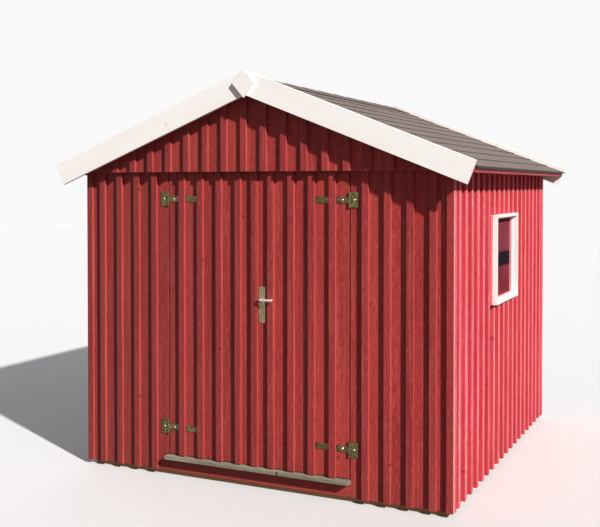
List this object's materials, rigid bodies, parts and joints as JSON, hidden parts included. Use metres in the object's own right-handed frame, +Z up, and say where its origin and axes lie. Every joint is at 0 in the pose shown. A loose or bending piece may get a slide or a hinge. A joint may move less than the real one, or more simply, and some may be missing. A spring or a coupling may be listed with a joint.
{
  "type": "garden shed",
  "caption": "Board-and-batten timber garden shed with a felted gable roof, double ledged doors on strap hinges, lever lock set and one side window.",
  "frame": {"origin": "on the ground, at the middle of the shed's outline seen from above, bargeboards and eaves included", "axes": "+Z up, -Y out of the double doors, +X towards the wall with the window"},
  "size_m": [2.946, 2.886, 2.6655],
  "materials": {
    "red_paint": "red paint on sawn boards, satin",
    "white_paint": "white paint on sawn boards, satin",
    "bare_timber": "planed softwood, unpainted",
    "weathered_timber": "grey weathered softwood",
    "roof_felt": "mineral-faced bitumen felt, matt",
    "hinge_zinc": "yellow zinc-plated steel, dulled",
    "lock_steel": "brushed steel, darkened",
    "lever_steel": "bright steel, polished by use",
    "window_glass": "clear pane"
  },
  "bodies": {
    "shed": {"front_cladding_left": "red_paint", "front_cladding_right": "red_paint", "front_gable_cladding": "red_paint", "back_cladding": "red_paint", "back_gable_cladding": "red_paint", "left_cladding": "red_paint", "right_cladding_front": "red_paint", "right_cladding_rear": "red_paint", "right_cladding_over_window": "red_paint", "right_cladding_under_window": "red_paint", "door_apron": "red_paint", "eave_fascias": "red_paint", "front_bargeboards": "white_paint", "back_bargeboards": "white_paint", "gable_diamonds": "white_paint", "window_frame": "white_paint", "window_trim": "white_paint", "sill_beams": "bare_timber", "floor_joists": "bare_timber", "floor_boards": "bare_timber", "bottom_plates": "bare_timber", "top_plates": "bare_timber", "side_wall_studs": "bare_timber", "end_wall_studs": "bare_timber", "window_trimmers": "bare_timber", "ridge_board": "bare_timber", "rafters": "bare_timber", "tie_beams": "bare_timber", "eave_blocks": "bare_timber", "gable_studs": "bare_timber", "gable_furring": "bare_timber", "roof_deck": "bare_timber", "threshold": "weathered_timber", "window_pane": "window_glass", "roof_felt": "roof_felt", "ridge_cap": "roof_felt", "wall_hinge_plates": "hinge_zinc"},
    "left_door": {"left_door_boards": "red_paint", "left_door_ledges": "bare_timber", "left_door_straps": "hinge_zinc"},
    "right_door": {"right_door_boards": "red_paint", "right_door_ledges": "bare_timber", "right_door_straps": "hinge_zinc", "lock_plates": "lock_steel"},
    "lever": {"lever": "lever_steel"}
  },
  "joints": [
    {"name": "left_door_hinge", "type": "hinge", "parent": "shed", "child": "left_door", "pos_m": [-0.651, -1.288, 1], "axis": [0, 0, -1], "range_deg": [0, 140]},
    {"name": "right_door_hinge", "type": "hinge", "parent": "shed", "child": "right_door", "pos_m": [0.651, -1.288, 1], "axis": [0, 0, 1], "range_deg": [0, 140]},
    {"name": "lever_turn", "type": "hinge", "parent": "right_door", "child": "lever", "pos_m": [0.0485, -1.281, 1.216], "axis": [0, 1, 0], "range_deg": [0, 45], "stiffness_Nm_per_rad": 1, "springref_deg": -22.92}
  ]
}
